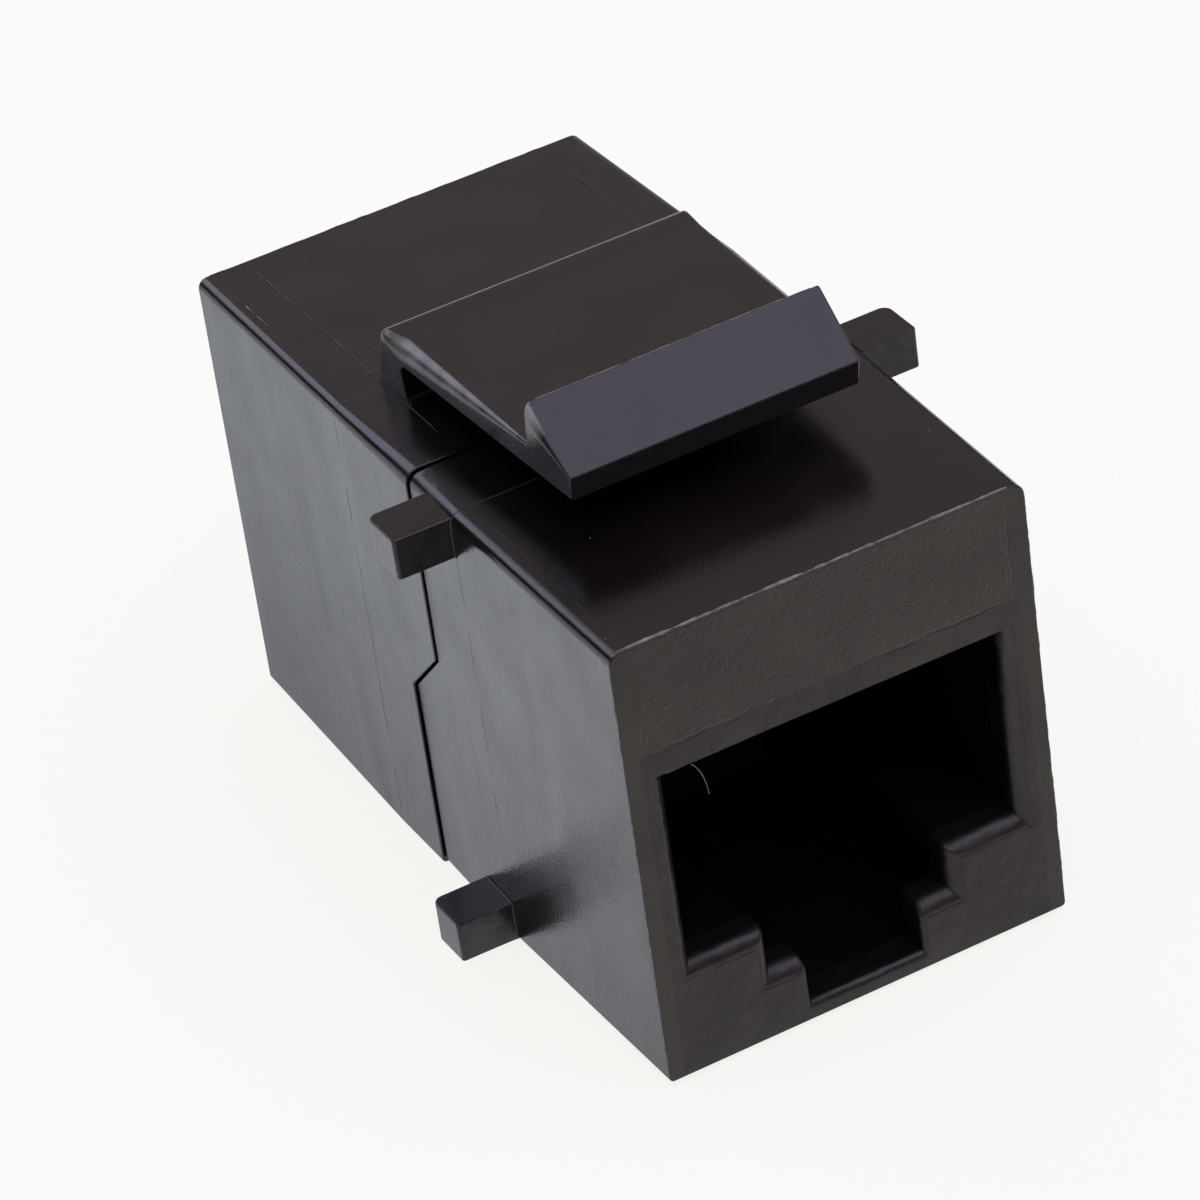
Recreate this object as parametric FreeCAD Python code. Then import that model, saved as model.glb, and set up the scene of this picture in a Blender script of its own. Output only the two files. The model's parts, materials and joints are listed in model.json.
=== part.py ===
import FreeCAD, Part
import math
import os
from FreeCAD import Vector

# Panel mount coupler: a moulded case in two snapped halves with a plug opening at each end.
# Sizes are in millimetres. While the pieces are made, y is the depth behind the front face,
# x is to the right seen from the front, and z is the height above the surface it rests on.

# Case, measured at its widest section: the front half's crease and the rear half's land
overall_length = 27.75
land_width = 14.8
land_height = 16.35

# Draft: how far the other sections are drawn in from the land, on every side
front_face_inset = 0.15
front_split_inset = 0.1
rear_face_inset = 0.19
front_edge_radius = 0.4
split_edge_radius = 0.55
rear_edge_radius = 0.35
bottom_edge_radius = 0.15
rear_crease_y = 17.55

# Split between the two halves, with the jog that shows on both sides
split_top_y = 12.6
split_bottom_y = 14.7
jog_top_z = 9.25
jog_bottom_z = 7.2
split_gap = 0.1
tongue_length = 1.5
tongue_thickness = 0.6
tongue_clearance = 0.05

# Plug opening and plug channel, the same at both ends
port_width = 11.8
lintel_height = 5.0
shelf_z = 4.15
step_width = 6.5
step_z = 2.5
slot_width = 4.1
slot_z = 0.75
lead_in_radius = 0.6
slot_lip_radius = 0.3
shelf_corner_radius = 0.15
step_corner_radius = 0.25
front_wall = 1.4
latch_channel_width = 6.9
top_wall = 1.2

# Panel seat: the panel is held between the latch's catch face and the pegs
catch_y = 8.05
panel_gap = 1.6
peg_depth = 1.8
peg_height = 1.45
peg_reach = 18.8
peg_front_radius = 0.12
peg_rear_radius = 0.35
upper_peg_drop = 0.15

# Snap latch
latch_root_width = 11.2
latch_tip_width = 10.26
pivot_y = 16.1
arm_above_case = 1.53
arm_thickness = 0.78
arm_thickness_at_catch = 0.98
arm_edge_radius = 0.4
arm_edge_radius_at_catch = 0.1
ridge_height = 1.4
ridge_corner_radius = 0.45
ramp_length = 2.55
tip_thickness = 0.9
tip_rake = 0.17
pivot_clearance = 0.05
root_depth_top = 1.2
root_depth_base = 1.75
root_top_round = 0.25
root_inner_fillet = 0.4
root_outer_fillet = 0.8

# Contact carrier
carrier_clearance = 0.05
carrier_plate = 1.65
carrier_middle_gap = 0.15
carrier_back_wall = 1.8
rail_depth = 0.35
rail_height = 0.7
rail_above_ceiling = 0.55
groove_web = 0.35
groove_clearance = 0.05
comb_front_lip = 0.6
comb_length = 6.2

# Spring contacts: formed strip
contact_count = 8
contact_pitch = 1.02
contact_width = 0.45
contact_thickness = 0.3
nose_radius = 0.6
nose_clearance = 0.2
leg_slope = 19
leg_length = 6.5
tail_bend_radius = 0.4
tail_setback = 9.2
tail_row_spacing = 1.8
tail_above_board = 0.6

# Circuit board
board_thickness = 1.0
board_side_clearance = 0.25
board_setback = 4.5
board_hole_diameter = 0.75

# Places worked out from the sizes above
half_port = port_width / 2
port_ceiling_z = land_height - lintel_height
hollow_top_z = land_height - top_wall
rail_z = port_ceiling_z + rail_above_ceiling
half_rail = half_port + rail_depth
peg_front_y = catch_y + panel_gap
tip_y = catch_y - ramp_length
arm_underside_z = land_height + arm_above_case
arm_top_z = arm_underside_z + arm_thickness
catch_foot_z = arm_underside_z + arm_thickness_at_catch
ridge_top_z = catch_foot_z + ridge_height
pivot_radius = arm_thickness / 2
pivot_z = arm_underside_z + pivot_radius
carrier_front_y = front_wall + carrier_clearance
carrier_end_y = (overall_length - carrier_middle_gap) / 2
carrier_half = half_port - carrier_clearance
board_seat_z = port_ceiling_z + carrier_plate
contact_z = port_ceiling_z + groove_web + contact_thickness / 2
comb_front_y = carrier_front_y + comb_front_lip
comb_end_y = comb_front_y + comb_length
nose_front_y = comb_front_y + nose_clearance + contact_thickness / 2

# How far a cutting tool reaches past what it cuts, and how near counts as the same place
overshoot = 1.0
near = 0.001


def block(half_width, y_low, y_high, z_low, z_high):
    """Box that is centred on the middle plane of the coupler."""
    corner = Vector(-half_width, y_low, z_low)
    return Part.makeBox(2 * half_width, y_high - y_low, z_high - z_low, corner)


def rounded_outline(corners):
    """Closed outline through (point, radius) corners, with a tangent arc at each round one."""
    points = [point for point, radius in corners]
    starts = []
    ends = []
    arcs = []
    for index, (point, radius) in enumerate(corners):
        back = (points[index - 1] - point).normalize()
        onward = (points[(index + 1) % len(points)] - point).normalize()
        half_angle = back.getAngle(onward) / 2
        tangent = radius / math.tan(half_angle)
        starts.append(point + back * tangent)
        ends.append(point + onward * tangent)
        inward = (back + onward).normalize()
        middle = point + inward * (radius / math.sin(half_angle) - radius)
        arcs.append(Part.Arc(starts[-1], middle, ends[-1]).toShape() if radius else None)
    edges = []
    for index, arc in enumerate(arcs):
        if arc:
            edges.append(arc)
        following = starts[(index + 1) % len(starts)]
        if (following - ends[index]).Length > near:
            edges.append(Part.makeLine(ends[index], following))
    return Part.Wire(edges)


def side_outline(corners):
    """Closed outline in the side view, through (y, z, radius) corners."""
    return rounded_outline([(Vector(0, y, z), radius) for y, z, radius in corners])


def across(outline, half_width):
    """Solid with a side-view outline, the same width each side of the middle plane."""
    face = Part.Face(outline)
    face.translate(Vector(-half_width, 0, 0))
    return face.extrude(Vector(2 * half_width, 0, 0))


def end_section(half_width, z_low, z_high, low_radius, high_radius, y):
    """Rectangle across the coupler at depth y, with its lower and upper corners rounded."""
    return rounded_outline([
        (Vector(-half_width, y, z_low), low_radius),
        (Vector(half_width, y, z_low), low_radius),
        (Vector(half_width, y, z_high), high_radius),
        (Vector(-half_width, y, z_high), high_radius),
    ])


def case_section(inset, radius, y):
    """Outline of the case at depth y: the land drawn in by inset, with a radius at its upper corners."""
    half_width = land_width / 2 - inset
    return end_section(half_width, inset, land_height - inset, bottom_edge_radius, radius, y)


def straight_loft(first, last):
    """Solid between two outlines."""
    return Part.makeLoft([first, last], True, True)


def at_rear(shape):
    """The same piece turned half round, for the rear port."""
    turned = shape.copy()
    turned.rotate(Vector(0, overall_length / 2, 0), Vector(0, 0, 1), 180)
    return turned


def ahead_of_split(shift):
    """All that lies in front of the split, with the split moved back by shift."""
    below = -overshoot
    above = ridge_top_z + overshoot
    outline = side_outline([
        (-overshoot, below, 0),
        (split_bottom_y + shift, below, 0),
        (split_bottom_y + shift, jog_bottom_z, 0),
        (split_top_y + shift, jog_top_z, 0),
        (split_top_y + shift, above, 0),
        (-overshoot, above, 0),
    ])
    return across(outline, peg_reach)


def channel():
    """Hollow of the front half: plug channel, latch channel and grooves for the carrier's rails."""
    end = overall_length / 2 + split_bottom_y - split_top_y + tongue_length
    hollow = block(half_port, front_wall, end, shelf_z, hollow_top_z)
    latch_channel = block(latch_channel_width / 2, front_wall, end, slot_z, shelf_z + overshoot)
    rail_grooves = block(half_rail, front_wall, end, rail_z, rail_z + rail_height)
    return hollow.fuse([latch_channel, rail_grooves])


def plug_opening():
    """Stepped opening through the front wall, with the latch slot at its foot."""
    wide = block(half_port, -overshoot, front_wall, shelf_z, port_ceiling_z)
    step = block(step_width / 2, -overshoot, front_wall, step_z, port_ceiling_z)
    slot = block(slot_width / 2, -overshoot, front_wall, slot_z, port_ceiling_z)
    return wide.fuse([step, slot]).removeSplitter()


def mouth_edges(shell):
    """Edges of the plug opening that lie on the front face."""
    edges = []
    for edge in shell.Edges:
        box = edge.BoundBox
        across_port = abs(box.Center.x) < half_port + near
        up_port = slot_z - near < box.Center.z < port_ceiling_z + near
        if box.YMax < near and across_port and up_port:
            edges.append(edge)
    return edges


def round_inner_end(shell, half_width, level, radius):
    """Rounds the inner ends of a shelf or step of the opening, where it drops away at half_width."""
    ends = []
    for edge in shell.Edges:
        box = edge.BoundBox
        level_line = box.ZLength < near and abs(box.ZMin - level) < near
        at_end = box.XLength < near and abs(abs(box.XMin) - half_width) < near
        if level_line and at_end and box.YMax < front_wall + near:
            ends.append(edge)
    return shell.makeFillet(radius, ends)


def round_mouth(shell):
    """Rounds the opening's jambs, shelves and steps at the front face, and the lip of its slot."""
    beside_slot = slot_width / 2 + near
    lead_in = [edge for edge in mouth_edges(shell) if abs(edge.BoundBox.Center.x) > beside_slot]
    rounded = shell.makeFillet(lead_in_radius, lead_in)
    lip = [edge for edge in mouth_edges(rounded) if edge.BoundBox.ZMax < slot_z + near]
    rounded = rounded.makeFillet(slot_lip_radius, lip)
    rounded = round_inner_end(rounded, step_width / 2, shelf_z, shelf_corner_radius)
    return round_inner_end(rounded, slot_width / 2, step_z, step_corner_radius)


def with_plug_opening(shell):
    """The shell with a rounded plug opening through its front wall."""
    return round_mouth(shell.cut(plug_opening()).removeSplitter())


def pegs():
    """Four stop pegs, level with the case's top and bottom, that the panel is pushed against."""
    solids = []
    half_reach = peg_reach / 2
    peg_rear_y = peg_front_y + peg_depth
    for z_low in (0, land_height - upper_peg_drop - peg_height):
        outline = rounded_outline([
            (Vector(-half_reach, peg_front_y, z_low), peg_front_radius),
            (Vector(half_reach, peg_front_y, z_low), peg_front_radius),
            (Vector(half_reach, peg_rear_y, z_low), peg_rear_radius),
            (Vector(-half_reach, peg_rear_y, z_low), peg_rear_radius),
        ])
        bar = Part.Face(outline).extrude(Vector(0, 0, peg_height))
        solids.append(bar.cut(block(half_rail, 0, overall_length, -overshoot, ridge_top_z)))
    return solids


def tongue(clearance):
    """Thin collar of the front half that reaches into the rear half along the sides and the top."""
    outer = tongue_thickness + clearance
    ring = block(half_port + outer, 0, overall_length, shelf_z - clearance, hollow_top_z + outer)
    reach = ring.common(ahead_of_split(tongue_length + clearance))
    return reach.cut(ahead_of_split(-split_gap))


def front_housing():
    """Front half of the case: drafted shell, plug opening, pegs and the tongue into the rear half."""
    face = case_section(front_face_inset, front_edge_radius, 0)
    crease = case_section(0, front_edge_radius, peg_front_y)
    back = case_section(front_split_inset, split_edge_radius, split_bottom_y)
    shell = straight_loft(face, crease).fuse([straight_loft(crease, back)] + pegs())
    shell = with_plug_opening(shell.common(ahead_of_split(-split_gap / 2)))
    return shell.fuse(tongue(0)).cut(channel()).removeSplitter()


def latch_root():
    """Upright web that carries the latch arm, with a filleted foot on the case's top."""
    sunk_z = land_height - top_wall / 2
    foot_front_y = pivot_y - root_inner_fillet
    foot_y = pivot_y + root_depth_base
    foot_rear_y = foot_y + root_outer_fillet
    outline = side_outline([
        (foot_front_y, sunk_z, 0),
        (foot_front_y, land_height, 0),
        (pivot_y, land_height, root_inner_fillet),
        (pivot_y, arm_top_z, 0),
        (pivot_y + root_depth_top, arm_top_z, root_top_round),
        (foot_y, land_height, root_outer_fillet),
        (foot_rear_y, land_height, 0),
        (foot_rear_y, sunk_z, 0),
    ])
    root = across(outline, latch_root_width / 2)
    start = Vector(-latch_root_width / 2, pivot_y, pivot_z)
    seat = Part.makeCylinder(pivot_radius + pivot_clearance, latch_root_width, start, Vector(1, 0, 0))
    return root.cut(seat)


def rear_housing():
    """Rear half of the case: drafted shell with the rear plug opening and the latch root."""
    land = case_section(0, split_edge_radius, split_top_y)
    crease = case_section(0, rear_edge_radius, rear_crease_y)
    face = case_section(rear_face_inset, rear_edge_radius, overall_length)
    shell = straight_loft(land, crease).fuse(straight_loft(crease, face))
    shell = at_rear(with_plug_opening(at_rear(shell)))
    shell = shell.fuse(latch_root()).cut(ahead_of_split(split_gap / 2))
    return shell.cut([tongue(tongue_clearance), at_rear(channel())]).removeSplitter()


def latch():
    """Springy arm with a half-round end at its root, a catch ridge and a ramp down to the tip."""
    half_root = latch_root_width / 2
    half_tip = latch_tip_width / 2
    half_catch = half_tip + (half_root - half_tip) * ramp_length / (pivot_y - tip_y)
    rear = end_section(half_root, arm_underside_z, arm_top_z, 0, arm_edge_radius, pivot_y)
    catch_radius = arm_edge_radius_at_catch
    front = end_section(half_catch, arm_underside_z, catch_foot_z, 0, catch_radius, catch_y)
    arm = straight_loft(rear, front)
    low = Vector(0, pivot_y, arm_underside_z)
    high = Vector(0, pivot_y, arm_top_z)
    bulge = Part.Arc(low, Vector(0, pivot_y + pivot_radius, pivot_z), high).toShape()
    round_end = across(Part.Wire([bulge, Part.makeLine(high, low)]), half_root)
    wedge = across(side_outline([
        (catch_y, arm_underside_z, 0),
        (tip_y + tip_rake, arm_underside_z, 0),
        (tip_y, arm_underside_z + tip_thickness, 0),
        (catch_y, ridge_top_z, 0),
    ]), half_root)
    at_tip = end_section(half_tip, arm_underside_z, ridge_top_z, 0, ridge_corner_radius, tip_y)
    at_catch = end_section(half_catch, arm_underside_z, ridge_top_z, 0, ridge_corner_radius, catch_y)
    head = wedge.common(straight_loft(at_tip, at_catch))
    return arm.fuse([round_end, head]).removeSplitter()


def contact_x(number):
    """Sideways place of a contact, counted from the left."""
    return (number - (contact_count - 1) / 2) * contact_pitch


def tail_y(number):
    """Depth of a contact's solder tail: the tails stand in two rows, turn about."""
    return tail_setback + tail_row_spacing * (number % 2)


def contact_carrier():
    """Comb over the front plug channel, with side rails and the channel's back wall."""
    plate = block(carrier_half, carrier_front_y, carrier_end_y, port_ceiling_z, board_seat_z)
    rail_low = rail_z + carrier_clearance
    rail_high = rail_z + rail_height - carrier_clearance
    rails = block(half_rail - carrier_clearance, carrier_front_y, carrier_end_y, rail_low, rail_high)
    wall_y = carrier_end_y - carrier_back_wall
    wall = block(carrier_half, wall_y, carrier_end_y, shelf_z + carrier_clearance, board_seat_z)
    half_keel = latch_channel_width / 2 - carrier_clearance
    keel = block(half_keel, wall_y, carrier_end_y, slot_z + carrier_clearance, board_seat_z)
    body = plate.fuse([rails, wall, keel])
    half_slot = contact_width / 2 + groove_clearance
    above = board_seat_z + overshoot
    for number in range(contact_count):
        slot = block(half_slot, comb_front_y, comb_end_y, port_ceiling_z - overshoot, above)
        groove_end_y = tail_y(number) + contact_thickness / 2 + groove_clearance
        groove = block(half_slot, comb_front_y, groove_end_y, port_ceiling_z + groove_web, above)
        cutter = slot.fuse(groove)
        cutter.translate(Vector(contact_x(number), 0, 0))
        body = body.cut(cutter)
    return body.removeSplitter()


def spring_contact(number):
    """Formed strip: solder tail, run along the comb, round nose and a sloping spring leg."""
    slope = math.radians(leg_slope)
    tail_top = Vector(0, tail_y(number), board_seat_z + board_thickness + tail_above_board)
    bend_centre = Vector(0, tail_y(number) - tail_bend_radius, contact_z + tail_bend_radius)
    bend_start = bend_centre + Vector(0, tail_bend_radius, 0)
    bend_middle = bend_centre + Vector(0, 1, -1).normalize() * tail_bend_radius
    bend_end = bend_centre + Vector(0, 0, -tail_bend_radius)
    nose_centre = Vector(0, nose_front_y + nose_radius, contact_z - nose_radius)
    nose_top = nose_centre + Vector(0, 0, nose_radius)
    nose_front = nose_centre + Vector(0, -nose_radius, 0)
    nose_end = nose_centre + Vector(0, -math.sin(slope), -math.cos(slope)) * nose_radius
    leg_end = nose_end + Vector(0, math.cos(slope), -math.sin(slope)) * leg_length
    spine = Part.Wire([
        Part.makeLine(tail_top, bend_start),
        Part.Arc(bend_start, bend_middle, bend_end).toShape(),
        Part.makeLine(bend_end, nose_top),
        Part.Arc(nose_top, nose_front, nose_end).toShape(),
        Part.makeLine(nose_end, leg_end),
    ])
    corner = tail_top - Vector(contact_width / 2, contact_thickness / 2, 0)
    section = Part.makePlane(contact_width, contact_thickness, corner).OuterWire
    strip = spine.makePipeShell([section], True, False)
    strip.translate(Vector(contact_x(number), 0, 0))
    return strip


def circuit_board():
    """Board that lies on both carriers, drilled for the contacts' solder tails."""
    half_width = half_port - board_side_clearance
    board_end_y = overall_length - board_setback
    board = block(half_width, board_setback, board_end_y, board_seat_z, board_seat_z + board_thickness)
    holes = []
    for number in range(contact_count):
        foot = Vector(contact_x(number), tail_y(number), board_seat_z)
        drill = Part.makeCylinder(board_hole_diameter / 2, board_thickness, foot)
        holes.append(drill)
        holes.append(at_rear(drill))
    return board.cut(holes)


def save(node, shape):
    """Moves a piece so that the origin is at the bottom centre of the coupler, and writes it."""
    placed = shape.copy()
    placed.translate(Vector(0, -overall_length / 2, 0))
    placed.exportStep(f"parts/{node}.step")
    print(f"{node}: {len(placed.Solids)} solid, volume {placed.Volume:.2f}, valid {placed.isValid()}")


os.makedirs("parts", exist_ok=True)
save("front_housing", front_housing())
save("rear_housing", rear_housing())
save("latch", latch())
save("front_contact_carrier", contact_carrier())
save("rear_contact_carrier", at_rear(contact_carrier()))
save("circuit_board", circuit_board())
for number in range(contact_count):
    save(f"front_contact_{number + 1}", spring_contact(number))
    save(f"rear_contact_{number + 1}", at_rear(spring_contact(number)))
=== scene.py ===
import json
import math
import bmesh
import bpy
from mathutils import Euler, Matrix, Vector


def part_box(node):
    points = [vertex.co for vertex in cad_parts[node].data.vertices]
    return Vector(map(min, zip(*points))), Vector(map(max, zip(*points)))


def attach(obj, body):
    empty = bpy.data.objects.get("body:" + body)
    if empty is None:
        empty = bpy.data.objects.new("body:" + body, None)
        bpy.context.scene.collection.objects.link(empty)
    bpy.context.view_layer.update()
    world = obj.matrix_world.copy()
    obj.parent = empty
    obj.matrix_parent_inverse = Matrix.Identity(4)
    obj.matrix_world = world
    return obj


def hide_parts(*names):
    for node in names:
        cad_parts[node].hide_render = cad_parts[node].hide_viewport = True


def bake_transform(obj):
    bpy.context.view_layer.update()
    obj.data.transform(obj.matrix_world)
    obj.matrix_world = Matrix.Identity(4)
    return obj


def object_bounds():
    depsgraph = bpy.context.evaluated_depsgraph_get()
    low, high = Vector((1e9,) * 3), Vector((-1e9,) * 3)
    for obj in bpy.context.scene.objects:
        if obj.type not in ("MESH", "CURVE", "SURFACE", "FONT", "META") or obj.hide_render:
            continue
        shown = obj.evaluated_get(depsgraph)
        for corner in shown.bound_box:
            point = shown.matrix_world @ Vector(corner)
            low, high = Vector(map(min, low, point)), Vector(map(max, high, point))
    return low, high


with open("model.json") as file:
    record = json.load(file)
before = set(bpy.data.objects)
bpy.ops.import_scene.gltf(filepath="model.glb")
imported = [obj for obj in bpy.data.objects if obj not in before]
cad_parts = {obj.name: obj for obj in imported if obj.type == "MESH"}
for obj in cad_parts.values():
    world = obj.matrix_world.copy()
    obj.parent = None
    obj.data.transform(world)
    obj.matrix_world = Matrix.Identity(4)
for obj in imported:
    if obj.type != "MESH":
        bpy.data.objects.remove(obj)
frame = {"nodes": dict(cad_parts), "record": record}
cad_low, cad_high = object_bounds()

# Spring contacts: sixteen strips of phosphor bronze, stamped and bent on a forming die,
# then gold plated over nickel. Their tails are soldered into the board, and little more
# than a warm glint shows of the strips in the dark of a port.
MM = 0.001
GOLD_PLATE = "#e2b45c"
GOLD_SHADOW = "#a97a30"
GOLD_ROUGHNESS = 0.24
PLATING_MOTTLE_MM = 0.35


def linear(hex_colour):
    """Linear colour with alpha, from an sRGB hex value."""
    channels = [int(hex_colour[place:place + 2], 16) / 255 for place in (1, 3, 5)]
    return [c / 12.92 if c <= 0.04045 else ((c + 0.055) / 1.055) ** 2.4 for c in channels] + [1.0]


def add_node(tree, kind, links=(), inputs=(), **settings):
    """Adds a node with its settings; links and inputs name its sockets, or number them where names repeat.

    A link comes from a socket, or from a node, which then gives the first output that it shows.
    """
    node = tree.nodes.new(kind)
    for name, value in settings.items():
        setattr(node, name, value)
    for name, value in dict(inputs).items():
        node.inputs[name].default_value = value
    for name, source in dict(links).items():
        if isinstance(source, bpy.types.Node):
            source = next(socket for socket in source.outputs if socket.enabled)
        tree.links.new(source, node.inputs[name])
    return node


def new_material(name):
    """Empty material: its tree and a coordinate socket that gives places on the piece in metres."""
    material = bpy.data.materials.new(name)
    material.use_nodes = True
    material.node_tree.nodes.clear()
    place = add_node(material.node_tree, "ShaderNodeTexCoord").outputs["Object"]
    return material, material.node_tree, place


def gold_plated_strip():
    """Gold plate over rolled bronze: warm and bright, a little duller where the plating is thin."""
    material, tree, place = new_material("gold_plated_strip")
    mottle = add_node(tree, "ShaderNodeTexNoise", {"Vector": place}, {"Scale": 1 / (PLATING_MOTTLE_MM * MM)})
    colour = add_node(tree, "ShaderNodeMix", {"Factor": mottle},
                      {"A": linear(GOLD_SHADOW), "B": linear(GOLD_PLATE)}, data_type="RGBA")
    shader = add_node(tree, "ShaderNodeBsdfPrincipled", {"Base Color": colour},
                      {"Metallic": 1.0, "Roughness": GOLD_ROUGHNESS})
    add_node(tree, "ShaderNodeOutputMaterial", {"Surface": shader})
    return material


def finish_node(node, material):
    """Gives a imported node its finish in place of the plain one."""
    frame["nodes"][node].data.materials.clear()
    frame["nodes"][node].data.materials.append(material)


plated = gold_plated_strip()
for name in frame["nodes"]:
    if "_contact_" in name and "carrier" not in name:
        finish_node(name, plated)

# Circuit board: glass-filled laminate under green solder resist, routed to size and drilled
# for the tails. It lies on both carriers, out of sight under the top of the case.
RESIST_GREEN = "#1c5a33"
RESIST_OVER_COPPER = "#2a6f41"
RESIST_ROUGHNESS = 0.35
TRACK_SPACING_MM = 2.26
WAVE_TEXTURE_PERIOD = math.pi / 10


def solder_resist():
    """Green resist over copper tracks: even gloss, slightly paler where a track lies under it."""
    material, tree, place = new_material("solder_resist")
    tracks = add_node(tree, "ShaderNodeTexWave", {"Vector": place},
                      {"Scale": WAVE_TEXTURE_PERIOD / (TRACK_SPACING_MM * MM), "Distortion": 1.5})
    colour = add_node(tree, "ShaderNodeMix", {"Factor": tracks.outputs["Fac"]},
                      {"A": linear(RESIST_GREEN), "B": linear(RESIST_OVER_COPPER)}, data_type="RGBA")
    shader = add_node(tree, "ShaderNodeBsdfPrincipled", {"Base Color": colour},
                      {"Roughness": RESIST_ROUGHNESS})
    add_node(tree, "ShaderNodeOutputMaterial", {"Surface": shader})
    return material


finish_node("circuit_board", solder_resist())

# Contact carriers: glass-filled black nylon combs, injection moulded, pressed into the case
# halves. They close the back of each plug channel and are only seen down the ports.
NYLON_BLACK = "#0b0a09"
NYLON_GREY = "#131211"
NYLON_IOR = 1.53
NYLON_ROUGHNESS_LOW = 0.45
NYLON_ROUGHNESS_HIGH = 0.65
GLASS_FIBRE_MM = 0.15


def glass_filled_nylon():
    """Black nylon with glass in it: dull, with a faint fibre mottle in colour and gloss."""
    material, tree, place = new_material("glass_filled_nylon")
    # The fibres are drawn about ten times as thick as real ones, so that they show.
    fibres = add_node(tree, "ShaderNodeTexNoise", {"Vector": place},
                      {"Scale": 1 / (GLASS_FIBRE_MM * MM), "Detail": 4.0, "Distortion": 1.2})
    colour = add_node(tree, "ShaderNodeMix", {"Factor": fibres},
                      {"A": linear(NYLON_BLACK), "B": linear(NYLON_GREY)}, data_type="RGBA")
    gloss = add_node(tree, "ShaderNodeMapRange", {"Value": fibres},
                     {"To Min": NYLON_ROUGHNESS_LOW, "To Max": NYLON_ROUGHNESS_HIGH})
    shader = add_node(tree, "ShaderNodeBsdfPrincipled", {"Base Color": colour, "Roughness": gloss},
                      {"IOR": NYLON_IOR})
    add_node(tree, "ShaderNodeOutputMaterial", {"Surface": shader})
    return material


nylon = glass_filled_nylon()
finish_node("front_contact_carrier", nylon)
finish_node("rear_contact_carrier", nylon)

# Case halves: black ABS, injection moulded in two halves that snap together for good.
# The sides and tops came off a ground mould, the end faces off a spark-eroded one, and core
# pins left their outlines above the ports. The latch is the same plastic.
LAND_WIDTH_MM = 14.8
LAND_Z_MM = 16.35
ABOVE_LAND_MM = 0.01
MOUTH_DEPTH_MM = 1.2
FACES_END = 0.9


def case_zones(tree, place):
    """Masks for the parts of the case, with the sockets of a point's place and of its smooth normal."""
    where = add_node(tree, "ShaderNodeSeparateXYZ", {"Vector": place}).outputs
    surface = add_node(tree, "ShaderNodeNewGeometry").outputs
    facing = add_node(tree, "ShaderNodeSeparateXYZ", {"Vector": surface["True Normal"]}).outputs
    turned = add_node(tree, "ShaderNodeSeparateXYZ", {"Vector": surface["Normal"]}).outputs
    endways = add_node(tree, "ShaderNodeMath", {0: facing["Y"]}, operation="ABSOLUTE")
    faces_end = add_node(tree, "ShaderNodeMath", {0: endways}, {1: FACES_END}, operation="GREATER_THAN")
    along = add_node(tree, "ShaderNodeMath", {0: where["Y"]}, operation="ABSOLUTE")
    at_end = add_node(tree, "ShaderNodeMath", {0: along}, {1: cad_high.y - MOUTH_DEPTH_MM * MM},
                      operation="GREATER_THAN")
    end_face = add_node(tree, "ShaderNodeMath", {0: faces_end, 1: at_end}, operation="MULTIPLY")
    side_face = add_node(tree, "ShaderNodeMath", {0: facing["X"]}, operation="ABSOLUTE")
    on_case = add_node(tree, "ShaderNodeMath", {0: where["Z"]}, {1: (LAND_Z_MM + ABOVE_LAND_MM) * MM},
                       operation="LESS_THAN")
    return {"where": where, "turned": turned, "at_end": at_end, "end_face": end_face,
            "side_face": side_face, "on_case": on_case}


SCUFF_PLACE_MM = (-5.15, -5.90, 19.90)
SCUFF_CORE_MM = 0.33
SCUFF_REACH_MM = 1.1
SCUFF_STRENGTH = 0.6
WORN_BEHIND_MM = -5.2
WORN_ABOVE_MM = 18.2
WORN_LEFTWARD = (-0.10, -0.35)
WORN_UPWARD = (0.1, 0.4)
RUB_MM = 0.8
RUB_SPAN = (0.2, 1.5)


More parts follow.
